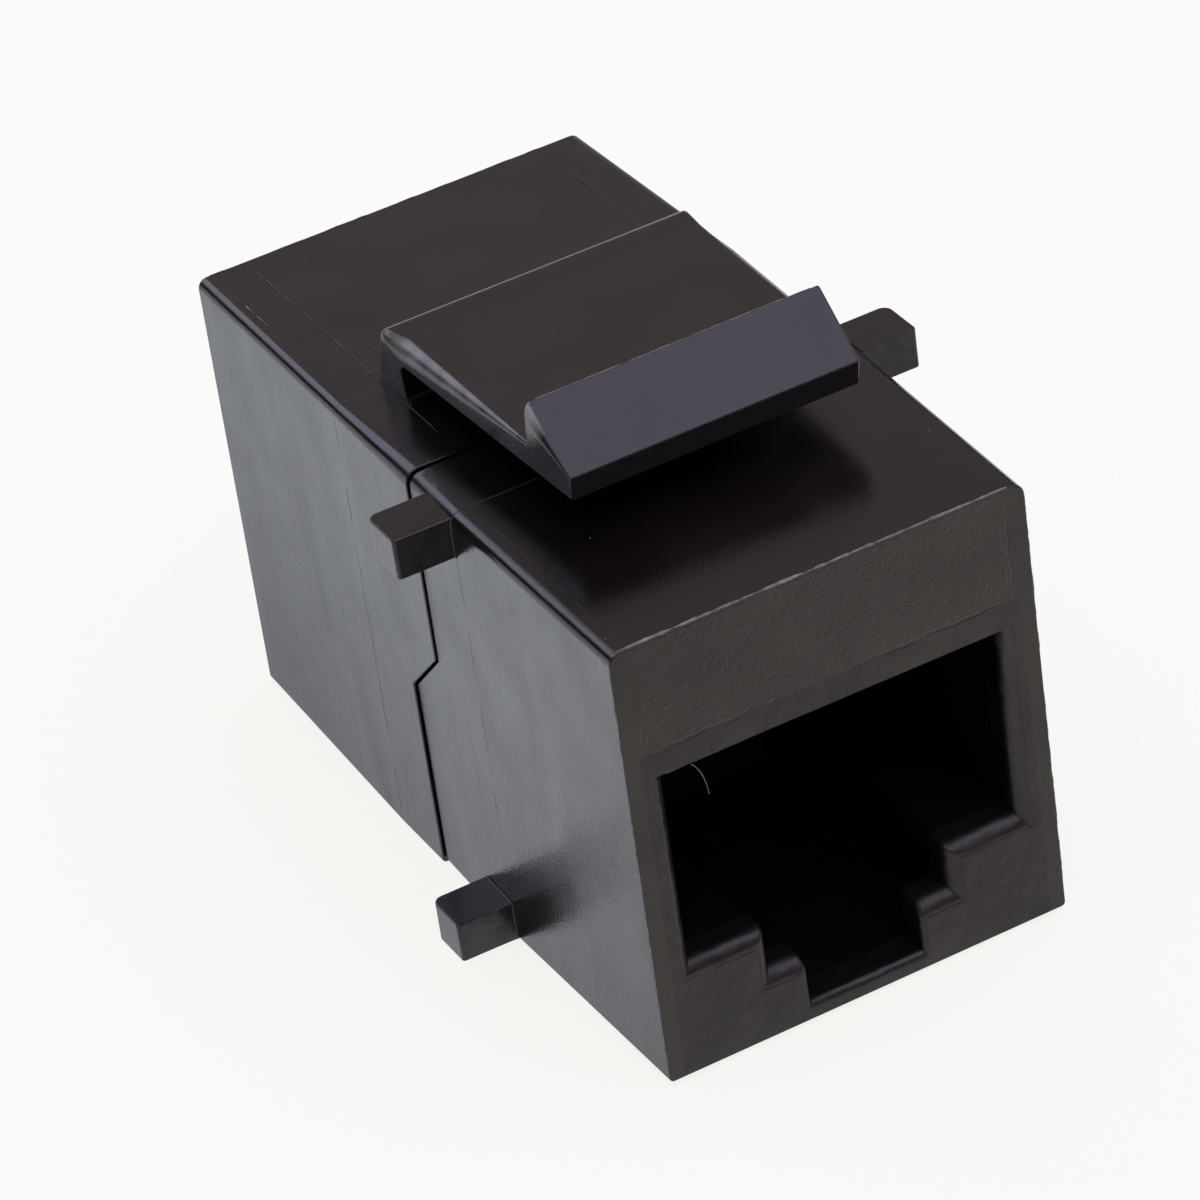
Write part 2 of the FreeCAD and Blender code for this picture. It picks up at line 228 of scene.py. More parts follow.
def latch_wear(tree, place, zones):
    """How far wear has whitened the latch: a scuff on the ridge's left end, a rubbed left edge behind it."""
    from_scuff = add_node(tree, "ShaderNodeVectorMath", {0: place}, {1: Vector(SCUFF_PLACE_MM) * MM},
                          operation="DISTANCE")
    in_reach = add_node(tree, "ShaderNodeMapRange", {"Value": from_scuff},
                        {"From Min": SCUFF_CORE_MM * MM, "From Max": SCUFF_REACH_MM * MM,
                         "To Min": SCUFF_STRENGTH, "To Max": 0.0})
    leftward = add_node(tree, "ShaderNodeMapRange", {"Value": zones["turned"]["X"]},
                        {"From Min": WORN_LEFTWARD[0], "From Max": WORN_LEFTWARD[1]})
    scuffed = add_node(tree, "ShaderNodeMath", {0: in_reach, 1: leftward}, operation="MULTIPLY")
    upward = add_node(tree, "ShaderNodeMapRange", {"Value": zones["turned"]["Z"]},
                      {"From Min": WORN_UPWARD[0], "From Max": WORN_UPWARD[1]})
    on_arm = add_node(tree, "ShaderNodeMath", {0: zones["where"]["Z"]}, {1: WORN_ABOVE_MM * MM},
                      operation="GREATER_THAN")
    behind_ridge = add_node(tree, "ShaderNodeMath", {0: zones["where"]["Y"]}, {1: WORN_BEHIND_MM * MM},
                            operation="GREATER_THAN")
    arm_edge = add_node(tree, "ShaderNodeMath", {0: on_arm, 1: behind_ridge}, operation="MULTIPLY")
    arm_round = add_node(tree, "ShaderNodeMath", {0: leftward, 1: upward}, operation="MULTIPLY")
    rubs = add_node(tree, "ShaderNodeTexNoise", {"Vector": place},
                    {"Scale": 1 / (RUB_MM * MM), "Detail": 4.0})
    rubbed = add_node(tree, "ShaderNodeMapRange", {"Value": rubs, "To Max": arm_edge},
                      {"From Min": RUB_SPAN[0], "From Max": RUB_SPAN[1]})
    worn_arm = add_node(tree, "ShaderNodeMath", {0: rubbed, 1: arm_round}, operation="MULTIPLY")
    return add_node(tree, "ShaderNodeMath", {0: scuffed, 1: worn_arm}, operation="MAXIMUM")


SINK_MM = 5.0
SINK_DEPTH_MM = 0.02
SIDE_SINK_MM = 40.0
# The side walls are hollow both ways: each row has the way, where it slopes most, and its depth.
SIDE_SINKS_MM = (("Z", 16.0, 0.64), ("Y", 14.0, 0.22))
STREAK_MM = 3.2
STREAK_DEPTH_MM = 0.07
STREAK_SQUEEZE = (1.0, 1.0, 0.3)
MOULD_GRAIN_MM = 0.12
GRAIN_DEPTH_MM = 0.013
GRAIN_FULL_ON_SIDES = (0.9, 1.0)
GRAIN_ELSEWHERE = 0.35


def ground_mould_relief(tree, place, zones):
    """Relief off the ground mould: slow sinks, slightly hollow side walls, upright streaks and grain."""
    sink = add_node(tree, "ShaderNodeTexNoise", {"Vector": place},
                    {"Scale": 1 / (SINK_MM * MM), "Detail": 1.0})
    sunk = add_node(tree, "ShaderNodeBump", {"Height": sink}, {"Distance": SINK_DEPTH_MM * MM})
    hollows = []
    for axis, end, depth in SIDE_SINKS_MM:
        from_end = add_node(tree, "ShaderNodeMath", {0: zones["where"][axis]}, {1: end * MM},
                            operation="SUBTRACT")
        phase = add_node(tree, "ShaderNodeMath", {0: from_end}, {1: 2 * math.pi / (SIDE_SINK_MM * MM)},
                         operation="MULTIPLY")
        wave = add_node(tree, "ShaderNodeMath", {0: phase}, operation="SINE")
        hollows.append(add_node(tree, "ShaderNodeMath", {0: wave}, {1: depth * MM}, operation="MULTIPLY"))
    hollow = add_node(tree, "ShaderNodeMath", {0: hollows[0], 1: hollows[1]}, operation="ADD")
    side_wall = add_node(tree, "ShaderNodeMath", {0: zones["side_face"], 1: zones["on_case"]},
                         operation="MULTIPLY")
    side_hollow = add_node(tree, "ShaderNodeMath", {0: hollow, 1: side_wall}, operation="MULTIPLY")
    hollowed = add_node(tree, "ShaderNodeBump", {"Height": side_hollow, "Normal": sunk}, {"Distance": 1.0})
    drawn = add_node(tree, "ShaderNodeMapping", {"Vector": place}, {"Scale": STREAK_SQUEEZE})
    streaks = add_node(tree, "ShaderNodeTexNoise", {"Vector": drawn},
                       {"Scale": 1 / (STREAK_MM * MM), "Detail": 1.5, "Roughness": 0.4, "Distortion": 0.4})
    side_streaks = add_node(tree, "ShaderNodeMath", {0: streaks, 1: zones["side_face"]},
                            operation="MULTIPLY")
    streaked = add_node(tree, "ShaderNodeBump", {"Height": side_streaks, "Normal": hollowed},
                        {"Distance": STREAK_DEPTH_MM * MM})
    # The grain is drawn several times as coarse as the mould's own, so that it shows.
    grain = add_node(tree, "ShaderNodeTexNoise", {"Vector": place},
                     {"Scale": 1 / (MOULD_GRAIN_MM * MM), "Detail": 3.0})
    grain_share = add_node(tree, "ShaderNodeMapRange", {"Value": zones["side_face"]},
                           {"From Min": GRAIN_FULL_ON_SIDES[0], "From Max": GRAIN_FULL_ON_SIDES[1],
                            "To Min": GRAIN_ELSEWHERE, "To Max": 1.0})
    grain_height = add_node(tree, "ShaderNodeMath", {0: grain, 1: grain_share}, operation="MULTIPLY")
    return add_node(tree, "ShaderNodeBump", {"Height": grain_height, "Normal": streaked},
                    {"Distance": GRAIN_DEPTH_MM * MM})


LINE_WOBBLE_MM = 0.5
LINE_STRAY_MM = 0.18
LINE_GAP_MM = 1.3
LINE_FADES = (0.36, 0.52)


def mould_line(tree, distance, stray, share, width, strength):
    """Line where a strayed distance is nought: of a strength there, fading out over its width in mm."""
    strayed = add_node(tree, "ShaderNodeMath", {0: stray, 2: distance}, {1: share}, operation="MULTIPLY_ADD")
    off_line = add_node(tree, "ShaderNodeMath", {0: strayed}, operation="ABSOLUTE")
    return add_node(tree, "ShaderNodeMapRange", {"Value": off_line},
                    {"From Max": width * MM, "To Min": strength, "To Max": 0.0})


PIN_HALF_WIDTH_MM = 6.5
PIN_BOTTOM_Z_MM = 12.3
PIN_TOP_Z_MM = 15.3
PIN_LINE_MM = 0.09
PIN_LINE_RISE = -0.65
PIN_STRAY = 1.0
# Each step of the port's lead-in has its half width and the height of its shelf.
LEAD_IN_MM = ((6.35, 3.70), (3.70, 2.05))
LEAD_IN_LINE_MM = 0.055
LEAD_IN_LINE_RISE = -0.5
LEAD_IN_STRAY = 0.45
EROSION_MM = 0.36
EROSION_DEPTH_MM = 0.042
EROSION_OFF_PIN = 0.5
EROSION_EDGE_MM = 0.05
MOUTH_WAVE_MM = 0.9
MOUTH_WAVE_DEPTH_MM = 0.10
MOUTH_MARGIN_MM = 0.2


def eroded_relief(tree, place, zones, stray, gaps, mould_relief):
    """Relief of the end faces: eroded texture, the pin's outline, the lead-in's edge and a rippled mouth.

    Gives the shading normal on top of the mould's relief, and the mask of the mouth.
    """
    where = zones["where"]
    across = add_node(tree, "ShaderNodeMath", {0: where["X"]}, operation="ABSOLUTE")
    from_side = add_node(tree, "ShaderNodeMath", {0: across}, {1: PIN_HALF_WIDTH_MM * MM},
                         operation="SUBTRACT")
    below_pin = add_node(tree, "ShaderNodeMath", {1: where["Z"]}, {0: PIN_BOTTOM_Z_MM * MM},
                         operation="SUBTRACT")
    from_pin = add_node(tree, "ShaderNodeMath", {0: from_side, 1: below_pin}, operation="MAXIMUM")
    pin_line = mould_line(tree, from_pin, stray, PIN_STRAY, PIN_LINE_MM, PIN_LINE_RISE)
    off_steps = []
    for half_width, shelf in LEAD_IN_MM:
        beside = add_node(tree, "ShaderNodeMath", {0: across}, {1: half_width * MM}, operation="SUBTRACT")
        under = add_node(tree, "ShaderNodeMath", {1: where["Z"]}, {0: shelf * MM}, operation="SUBTRACT")
        off_steps.append(add_node(tree, "ShaderNodeMath", {0: beside, 1: under}, operation="MAXIMUM"))
    off_mouth = add_node(tree, "ShaderNodeMath", {0: off_steps[0], 1: off_steps[1]}, operation="MINIMUM")
    mouth_line = mould_line(tree, off_mouth, stray, LEAD_IN_STRAY, LEAD_IN_LINE_MM, LEAD_IN_LINE_RISE)
    both_lines = add_node(tree, "ShaderNodeMath", {0: pin_line, 1: mouth_line}, operation="MINIMUM")
    present = add_node(tree, "ShaderNodeMapRange", {"Value": gaps},
                       {"From Min": LINE_FADES[0], "From Max": LINE_FADES[1]})
    broken = add_node(tree, "ShaderNodeMath", {0: both_lines, 1: present}, operation="MULTIPLY")
    under_top = add_node(tree, "ShaderNodeMath", {0: where["Z"]}, {1: PIN_TOP_Z_MM * MM},
                         operation="LESS_THAN")
    lines = add_node(tree, "ShaderNodeMath", {0: broken, 1: under_top}, operation="MULTIPLY")

    # The texture is drawn several times as coarse as spark erosion leaves it, so that it shows.
    worms = add_node(tree, "ShaderNodeTexNoise", {"Vector": place},
                     {"Scale": 1 / (EROSION_MM * MM), "Detail": 2.0, "Roughness": 0.45, "Distortion": 2.0})
    on_pin = add_node(tree, "ShaderNodeMapRange", {"Value": from_pin},
                      {"From Min": -EROSION_EDGE_MM * MM, "From Max": EROSION_EDGE_MM * MM,
                       "To Min": 1.0, "To Max": EROSION_OFF_PIN})
    marked = add_node(tree, "ShaderNodeMath", {0: worms, 1: on_pin, 2: lines}, operation="MULTIPLY_ADD")
    end_relief = add_node(tree, "ShaderNodeMath", {0: marked, 1: zones["end_face"]}, operation="MULTIPLY")
    textured = add_node(tree, "ShaderNodeBump", {"Height": end_relief, "Normal": mould_relief},
                        {"Distance": EROSION_DEPTH_MM * MM})

    under_pin = add_node(tree, "ShaderNodeMath", {0: below_pin}, {1: 0.0}, operation="GREATER_THAN")
    by_port = add_node(tree, "ShaderNodeMath", {0: from_side}, {1: MOUTH_MARGIN_MM * MM},
                       operation="LESS_THAN")
    below = add_node(tree, "ShaderNodeMath", {0: zones["at_end"], 1: under_pin}, operation="MULTIPLY")
    mouth = add_node(tree, "ShaderNodeMath", {0: below, 1: by_port}, operation="MULTIPLY")
    ripple = add_node(tree, "ShaderNodeTexNoise", {"Vector": place},
                      {"Scale": 1 / (MOUTH_WAVE_MM * MM), "Detail": 1.0})
    ripples = add_node(tree, "ShaderNodeMath", {0: ripple, 1: mouth}, operation="MULTIPLY")
    rippled = add_node(tree, "ShaderNodeBump", {"Height": ripples, "Normal": textured},
                       {"Distance": MOUTH_WAVE_DEPTH_MM * MM})
    return rippled, mouth


REAR_CREASE_Y_MM = 3.675
FRONT_CREASE_Y_MM = -4.225
# Each crease has its depth and how strongly it is dulled.
CREASES = ((REAR_CREASE_Y_MM, 0.8), (FRONT_CREASE_Y_MM, 0.7))
CREASE_LINE_MM = 0.07
CREASE_STRAY = 0.5
CREASE_FAINTEST = 0.45


def crease_marks(tree, zones, stray, gaps):
    """Dull lines round the case where its draft begins, fainter in places."""
    creases = []
    for level, strength in CREASES:
        off_crease = add_node(tree, "ShaderNodeMath", {0: zones["where"]["Y"]}, {1: level * MM},
                              operation="SUBTRACT")
        creases.append(mould_line(tree, off_crease, stray, CREASE_STRAY, CREASE_LINE_MM, strength))
    either = add_node(tree, "ShaderNodeMath", {0: creases[0], 1: creases[1]}, operation="MAXIMUM")
    crease = add_node(tree, "ShaderNodeMath", {0: either, 1: zones["on_case"]}, operation="MULTIPLY")
    faint = add_node(tree, "ShaderNodeMapRange", {"Value": gaps},
                     {"From Min": LINE_FADES[0], "From Max": LINE_FADES[1],
                      "To Min": CREASE_FAINTEST, "To Max": 1.0})
    return add_node(tree, "ShaderNodeMath", {0: crease, 1: faint}, operation="MULTIPLY")


ABS_BLACK = "#0a0806"
ABS_BROWN_BLACK = "#16110d"
END_FACE_BROWN = "#26201a"
WHITENED_ABS = "#a5a79a"
ABS_IOR = 1.53
ABS_ROUGHNESS_LOW = 0.18
ABS_ROUGHNESS_HIGH = 0.26
END_FACE_ROUGHER = 0.12
MOUTH_ROUGHER = 0.16
MARK_ROUGHNESS = 0.75
PATCH_MM = 2.5
PATCH_SPAN = (0.3, 0.7)
BLOTCH_MM = 3.0
BLOTCH_SPAN = (0.35, 0.65)


def moulded_abs(name):
    """Black ABS: deep warm black of a satin gloss, browner and duller on the end faces, pale where worn."""
    material, tree, place = new_material(name)
    zones = case_zones(tree, place)
    patches = add_node(tree, "ShaderNodeTexNoise", {"Vector": place},
                       {"Scale": 1 / (PATCH_MM * MM), "Detail": 2.0})
    black = add_node(tree, "ShaderNodeMix", {"Factor": patches},
                     {"A": linear(ABS_BLACK), "B": linear(ABS_BROWN_BLACK)}, data_type="RGBA")
    blotches = add_node(tree, "ShaderNodeTexNoise", {"Vector": place},
                        {"Scale": 1 / (BLOTCH_MM * MM), "Detail": 5.0})
    blotched = add_node(tree, "ShaderNodeMapRange", {"Value": blotches, "To Max": zones["end_face"]},
                        {"From Min": BLOTCH_SPAN[0], "From Max": BLOTCH_SPAN[1]})
    mottled = add_node(tree, "ShaderNodeMix", {"Factor": blotched, "A": black},
                       {"B": linear(END_FACE_BROWN)}, data_type="RGBA")
    whitened = latch_wear(tree, place, zones)
    colour = add_node(tree, "ShaderNodeMix", {"Factor": whitened, "A": mottled},
                      {"B": linear(WHITENED_ABS)}, data_type="RGBA")

    wobble = add_node(tree, "ShaderNodeTexNoise", {"Vector": place},
                      {"Scale": 1 / (LINE_WOBBLE_MM * MM), "Detail": 2.0})
    stray = add_node(tree, "ShaderNodeMapRange", {"Value": wobble},
                     {"To Min": -LINE_STRAY_MM * MM, "To Max": LINE_STRAY_MM * MM})
    gaps = add_node(tree, "ShaderNodeTexNoise", {"Vector": place},
                    {"Scale": 1 / (LINE_GAP_MM * MM), "Detail": 1.0})
    mould_relief = ground_mould_relief(tree, place, zones)
    relief, mouth = eroded_relief(tree, place, zones, stray, gaps, mould_relief)

    gloss = add_node(tree, "ShaderNodeMapRange", {"Value": patches},
                     {"From Min": PATCH_SPAN[0], "From Max": PATCH_SPAN[1],
                      "To Min": ABS_ROUGHNESS_LOW, "To Max": ABS_ROUGHNESS_HIGH})
    rough_ends = add_node(tree, "ShaderNodeMath", {0: zones["end_face"], 2: gloss}, {1: END_FACE_ROUGHER},
                          operation="MULTIPLY_ADD")
    rough_mouth = add_node(tree, "ShaderNodeMath", {0: mouth, 2: rough_ends}, {1: MOUTH_ROUGHER},
                           operation="MULTIPLY_ADD")
    creases = crease_marks(tree, zones, stray, gaps)
    marks = add_node(tree, "ShaderNodeMath", {0: creases, 1: whitened}, operation="MAXIMUM")
    dulled = add_node(tree, "ShaderNodeMath", {0: marks}, {1: MARK_ROUGHNESS}, operation="MULTIPLY")
    roughness = add_node(tree, "ShaderNodeMath", {0: rough_mouth, 1: dulled}, operation="MAXIMUM")
    shader = add_node(tree, "ShaderNodeBsdfPrincipled",
                      {"Base Color": colour, "Roughness": roughness, "Normal": relief}, {"IOR": ABS_IOR})
    add_node(tree, "ShaderNodeOutputMaterial", {"Surface": shader})
    return material


abs_plastic = moulded_abs("moulded_black_abs")
MERGE_MM = 0.002
FLAT_ANGLE = 0.5
EDGE_BREAK_MM = 0.05
EDGE_ANGLE = 35
LENGTHWISE = 0.1
OUT_ON_ROUND = 0.8
# Places along the front half, each with how far the case is drawn in there and its edges' radius.
FRONT_SECTIONS_MM = ((-13.875, 0.15, 0.40), (FRONT_CREASE_Y_MM, 0.0, 0.40), (0.825, 0.10, 0.55))


def link_piece(name, mesh, material):
    """New piece at the origin from a finished mesh."""
    mesh.materials.clear()
    mesh.materials.append(material)
    piece = bpy.data.objects.new(name, mesh)
    bpy.context.scene.collection.objects.link(piece)
    return piece


def merged_copy(node):
    """Editable copy of a node's mesh, with its triangles merged into whole faces."""
    shell = bmesh.new()
    shell.from_mesh(frame["nodes"][node].data)
    bmesh.ops.remove_doubles(shell, verts=shell.verts, dist=MERGE_MM * MM)
    bmesh.ops.dissolve_limit(shell, angle_limit=math.radians(FLAT_ANGLE), verts=shell.verts,
                             edges=shell.edges)
    return shell


def mesh_from(shell, name):
    """Plain mesh from an editable one, shaded smooth."""
    for face in shell.faces:
        face.smooth = True
    mesh = bpy.data.meshes.new(name)
    shell.to_mesh(mesh)
    shell.free()
    return mesh


def settle(piece):
    """Applies a piece's modifiers, so that its mesh is final."""
    shown = piece.evaluated_get(bpy.context.evaluated_depsgraph_get())
    piece.data = bpy.data.meshes.new_from_object(shown)
    piece.modifiers.clear()
    return piece


def break_edges(shell, left_sharp=()):
    """Takes the knife edge off a moulding, but for the edges left sharp, and keeps it in the frame's box."""
    sharp = [edge for edge in shell.edges
             if edge.is_manifold and edge.calc_face_angle() > math.radians(EDGE_ANGLE)
             and edge not in left_sharp]
    bmesh.ops.bevel(shell, geom=sharp, offset=EDGE_BREAK_MM * MM, segments=2, profile=0.5, affect="EDGES",
                    clamp_overlap=False)
    for vertex in shell.verts:
        vertex.co = Vector(max(low, min(high, value))
                           for low, value, high in zip(cad_low, vertex.co, cad_high))


def section_at(sections, y):
    """Half width, height and edge radius of the case at a depth, and its draft there, in mm."""
    for (y_low, inset_low, radius_low), (y_high, inset_high, radius_high) in zip(sections, sections[1:]):
        if y <= y_high or y_high == sections[-1][0]:
            share = (y - y_low) / (y_high - y_low)
            inset = inset_low + (inset_high - inset_low) * share
            radius = radius_low + (radius_high - radius_low) * share
            draft = (inset_high - inset_low) / (y_high - y_low)
            return LAND_WIDTH_MM / 2 - inset, LAND_Z_MM - inset, radius, draft


def round_long_edges(mesh, sections):
    """Gives the rounded upper edges along the case the normals of a true round, which their facets lack."""
    normals = [corner.vector.copy() for corner in mesh.corner_normals]
    for face in mesh.polygons:
        half_width, height, radius, draft = section_at(sections, face.center.y / MM)
        beside = abs(face.center.x / MM) - (half_width - radius)
        above = face.center.z / MM - (height - radius)
        if not (0 < beside < radius and 0 < above < radius and abs(face.normal.y) < LENGTHWISE):
            continue
        if math.hypot(beside, above) < OUT_ON_ROUND * radius:
            continue
        for corner in face.loop_indices:
            point = mesh.vertices[mesh.loops[corner].vertex_index].co / MM
            half_width, height, radius = section_at(sections, point.y)[:3]
            out = math.copysign(max(0.0, abs(point.x) - half_width + radius), point.x)
            up = max(0.0, point.z - height + radius)
            normals[corner] = Vector((out / radius, draft, up / radius)).normalized()
    mesh.normals_split_custom_set(normals)


def case_half(name, shell, node, sections):
    """Finished case half that stands for its node."""
    half = link_piece(name, mesh_from(shell, name), abs_plastic)
    half.modifiers.new("flat_faces", "WEIGHTED_NORMAL")
    settle(half)
    round_long_edges(half.data, sections)
    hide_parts(node)
    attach(half, "housing")
    return half


front_shell = merged_copy("front_housing")
break_edges(front_shell)
front_half = case_half("front_half", front_shell, "front_housing", FRONT_SECTIONS_MM)

# Rear half: the same ABS, moulded in one with the latch. The latch's root is cut away here, level
# with the land on top, because the latch piece below has it, and the stub's edges stay unbroken.
ROOT_REACH_MM = (1.6, 5.0)
ROOT_CUT_MM = 0.002
STUB_DEPTH_MM = 0.15
REAR_SECTIONS_MM = ((-1.275, 0.0, 0.55), (REAR_CREASE_Y_MM, 0.0, 0.35), (13.875, 0.19, 0.35))
rear_shell = merged_copy("rear_housing")
whole = rear_shell.verts[:] + rear_shell.edges[:] + rear_shell.faces[:]
cut = bmesh.ops.bisect_plane(rear_shell, geom=whole, plane_co=(0, 0, (LAND_Z_MM + ROOT_CUT_MM) * MM),
                             plane_no=(0, 0, 1), clear_outer=True)
rim = [part for part in cut["geom_cut"] if isinstance(part, bmesh.types.BMEdge)]
bmesh.ops.edgeloop_fill(rear_shell, edges=rim)
stub_edges = {edge for edge in rear_shell.edges
              if all(ROOT_REACH_MM[0] < end.co.y / MM < ROOT_REACH_MM[1]
                     and end.co.z / MM > LAND_Z_MM - STUB_DEPTH_MM for end in edge.verts)}
break_edges(rear_shell, stub_edges)
rear_half = case_half("rear_half", rear_shell, "rear_housing", REAR_SECTIONS_MM)

# Snap latch: a springy ABS arm moulded in one with the rear half. It stands on a root wall,
# reaches forward over the case and ends in a ramped ridge that snaps behind the panel's edge.
root_place = Vector(frame["record"]["behaviour"]["joints"][0]["pos_m"]) / MM
latch_low, latch_high = (Vector(corner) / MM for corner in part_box("latch"))
RIDGE_LENGTH_MM = 2.55
ARM_AT_ROOT_MM = 0.78
ARM_AT_CATCH_MM = 0.98
NOSE_HEIGHT_MM = 0.90
NOSE_RAKE_MM = 0.17
ROOT_DEPTH_MM = 1.20
ROOT_LEAN_MM = 0.55
ROOT_SUNK_MM = 0.10
FOOT_AHEAD_MM = 0.4
FOOT_BEHIND_MM = 0.8
WORN_FROM_REAR_MM = 1.3
HALF_WIDTH_AT_ROOT_MM = 5.60
HALF_WIDTH_AT_TIP_MM = 5.13
SIDE_DRAFT = 0.07
FULL_WIDTH_Z_MM = 19.1
BEND_LENGTH_MM = 2.6
EDGE_TURNS = 6
STRAIGHT_ON = 0.05
OUTLINE_STEP_MM = 0.3


def softened(corners):
    """Closed outline with arcs at its corners; each point has both side edges' radii and inward pulls."""
    outline = []
    for index, (corner, radius, edges) in enumerate(corners):
        came = (corner - corners[index - 1][0]).normalized()
        goes = (corners[(index + 1) % len(corners)][0] - corner).normalized()
        inward = [Vector((-way.y, way.x)) for way in (came, goes)]
        mitre = (inward[0] + inward[1]) / (1 + inward[0].dot(inward[1]))
        pulls = [mitre * edge for edge in edges]
        turn = came.angle(goes)
        if turn < STRAIGHT_ON:
            outline.append((corner, edges, pulls))
            continue
        middle = corner + mitre * math.copysign(radius, came.x * goes.y - came.y * goes.x)
        start = corner - came * radius * math.tan(turn / 2) - middle
        end = corner + goes * radius * math.tan(turn / 2) - middle
        outline += [(middle + start.slerp(end, step / EDGE_TURNS) * radius, edges, pulls)
                    for step in range(EDGE_TURNS + 1)]
    return outline


def divided(outline):
    """The same outline with points at even steps along its long runs."""
    points = []
    for index, (point, edges, pulls) in enumerate(outline):
        onward, next_edges, next_pulls = outline[(index + 1) % len(outline)]
        parts = max(1, round((onward - point).length / OUTLINE_STEP_MM))
        for part in range(parts):
            share = part / parts
            points.append((point.lerp(onward, share),
                           [a + (b - a) * share for a, b in zip(edges, next_edges)],
                           [a.lerp(b, share) for a, b in zip(pulls, next_pulls)]))
    return points


def latch_mesh():
    """Latch moulding: its side outline carried across the width, with rounded side edges."""
    underside = latch_low.z
    tip_y = latch_low.y
    catch_y = tip_y + RIDGE_LENGTH_MM
    top_rear_y = root_place.y + ROOT_DEPTH_MM
    root_back_y = top_rear_y + ROOT_LEAN_MM
    foot_z = LAND_Z_MM - ROOT_SUNK_MM
    # Each corner: its depth and height, its radius, and the radii of the left and right side edges there.
    corners = [(Vector(place), radius, edges) for place, radius, edges in (
        ((root_place.y - FOOT_AHEAD_MM, foot_z), 0.02, (0.04, 0.04)),
        ((root_back_y + FOOT_BEHIND_MM, foot_z), 0.02, (0.04, 0.04)),
        ((root_back_y, LAND_Z_MM), 0.80, (0.05, 0.05)),
        ((top_rear_y, underside + ARM_AT_ROOT_MM), 0.42, (0.34, 0.12)),
        ((top_rear_y - WORN_FROM_REAR_MM, underside + ARM_AT_ROOT_MM), 0.0, (0.60, 0.20)),
        ((catch_y, underside + ARM_AT_CATCH_MM), 0.06, (0.10, 0.10)),
        ((catch_y, latch_high.z), 0.05, (0.42, 0.08)),
        ((tip_y, underside + NOSE_HEIGHT_MM), 0.06, (0.06, 0.08)),
        ((tip_y + NOSE_RAKE_MM, underside), 0.05, (0.05, 0.05)),
        ((root_place.y, underside), 0.45, (0.05, 0.05)),
        ((root_place.y, LAND_Z_MM), 0.38, (0.05, 0.05)))]
    outline = divided(softened(corners))
    taper = (HALF_WIDTH_AT_ROOT_MM - HALF_WIDTH_AT_TIP_MM) / (root_place.y - tip_y)
    shell = bmesh.new()
    turns = [math.pi / 2 * step / EDGE_TURNS for step in range(EDGE_TURNS + 1)]
    rings = []
    for end, side, turn in [(0, -1, turn) for turn in reversed(turns)] + [(1, 1, turn) for turn in turns]:
        ring = []
        for point, edges, pulls in outline:
            spot = point + pulls[end] * (1 - math.cos(turn))
            half_width = HALF_WIDTH_AT_ROOT_MM + taper * (min(spot.x, top_rear_y) - root_place.y)
            half_width -= SIDE_DRAFT * (FULL_WIDTH_Z_MM - spot.y)
            x = side * (half_width - edges[end] * (1 - math.sin(turn)))
            ring.append(shell.verts.new(Vector((x, spot.x, spot.y)) * MM))
        rings.append(ring)
    for near, far in zip(rings, rings[1:]):
        for index in range(len(outline)):
            shell.faces.new((near[index - 1], near[index], far[index], far[index - 1]))
    shell.faces.new(rings[0])
    shell.faces.new(rings[-1])
    bmesh.ops.recalc_face_normals(shell, faces=shell.faces)
    return mesh_from(shell, "latch_moulding")


latch_moulding = link_piece("latch_moulding", latch_mesh(), abs_plastic)
latch_moulding.modifiers.new("flat_faces", "WEIGHTED_NORMAL")
settle(latch_moulding)
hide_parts("latch")
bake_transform(latch_moulding)

# Flash and witness lines: thin fins of ABS that were squeezed into the joints of the moulds. They run
# along the end faces' edges and the latch's ridge, and as faint straight lines on the tops. The pale bead
# along the port's ceiling edge is a painted highlight, drawn for the thin light line on that edge. A pale
# curled bead, fixed at one end, hangs in the port as a whisker.
FLASH_GREY = "#53564f"
FLASH_PALE = "#858a7e"
WITNESS_DARK = "#2a2b29"
WITNESS_GREY = "#464845"
FLASH_ROUGHNESS = 0.7
FLASH_TONE_MM = 0.4
FLASH_TONE_SPAN = (0.35, 0.65)
FLASH_SPACING_MM = 0.07
FLASH_SIDES = 8
PATH_STEPS = 24
LUMP_SPAN = (0.35, 0.68)


def thin_abs(name, dark, pale):
    """ABS in thin fins: paler and duller than the moulding, because it is drawn out and stress-whitened."""
    material, tree, place = new_material(name)
    tone = add_node(tree, "ShaderNodeTexNoise", {"Vector": place},
                    {"Scale": 1 / (FLASH_TONE_MM * MM), "Detail": 2.0})
    patchy = add_node(tree, "ShaderNodeMapRange", {"Value": tone},
                      {"From Min": FLASH_TONE_SPAN[0], "From Max": FLASH_TONE_SPAN[1]})
    colour = add_node(tree, "ShaderNodeMix", {"Factor": patchy}, {"A": linear(dark), "B": linear(pale)},
                      data_type="RGBA")
    shader = add_node(tree, "ShaderNodeBsdfPrincipled", {"Base Color": colour},
                      {"Roughness": FLASH_ROUGHNESS, "IOR": ABS_IOR})
    add_node(tree, "ShaderNodeOutputMaterial", {"Surface": shader})
    return material


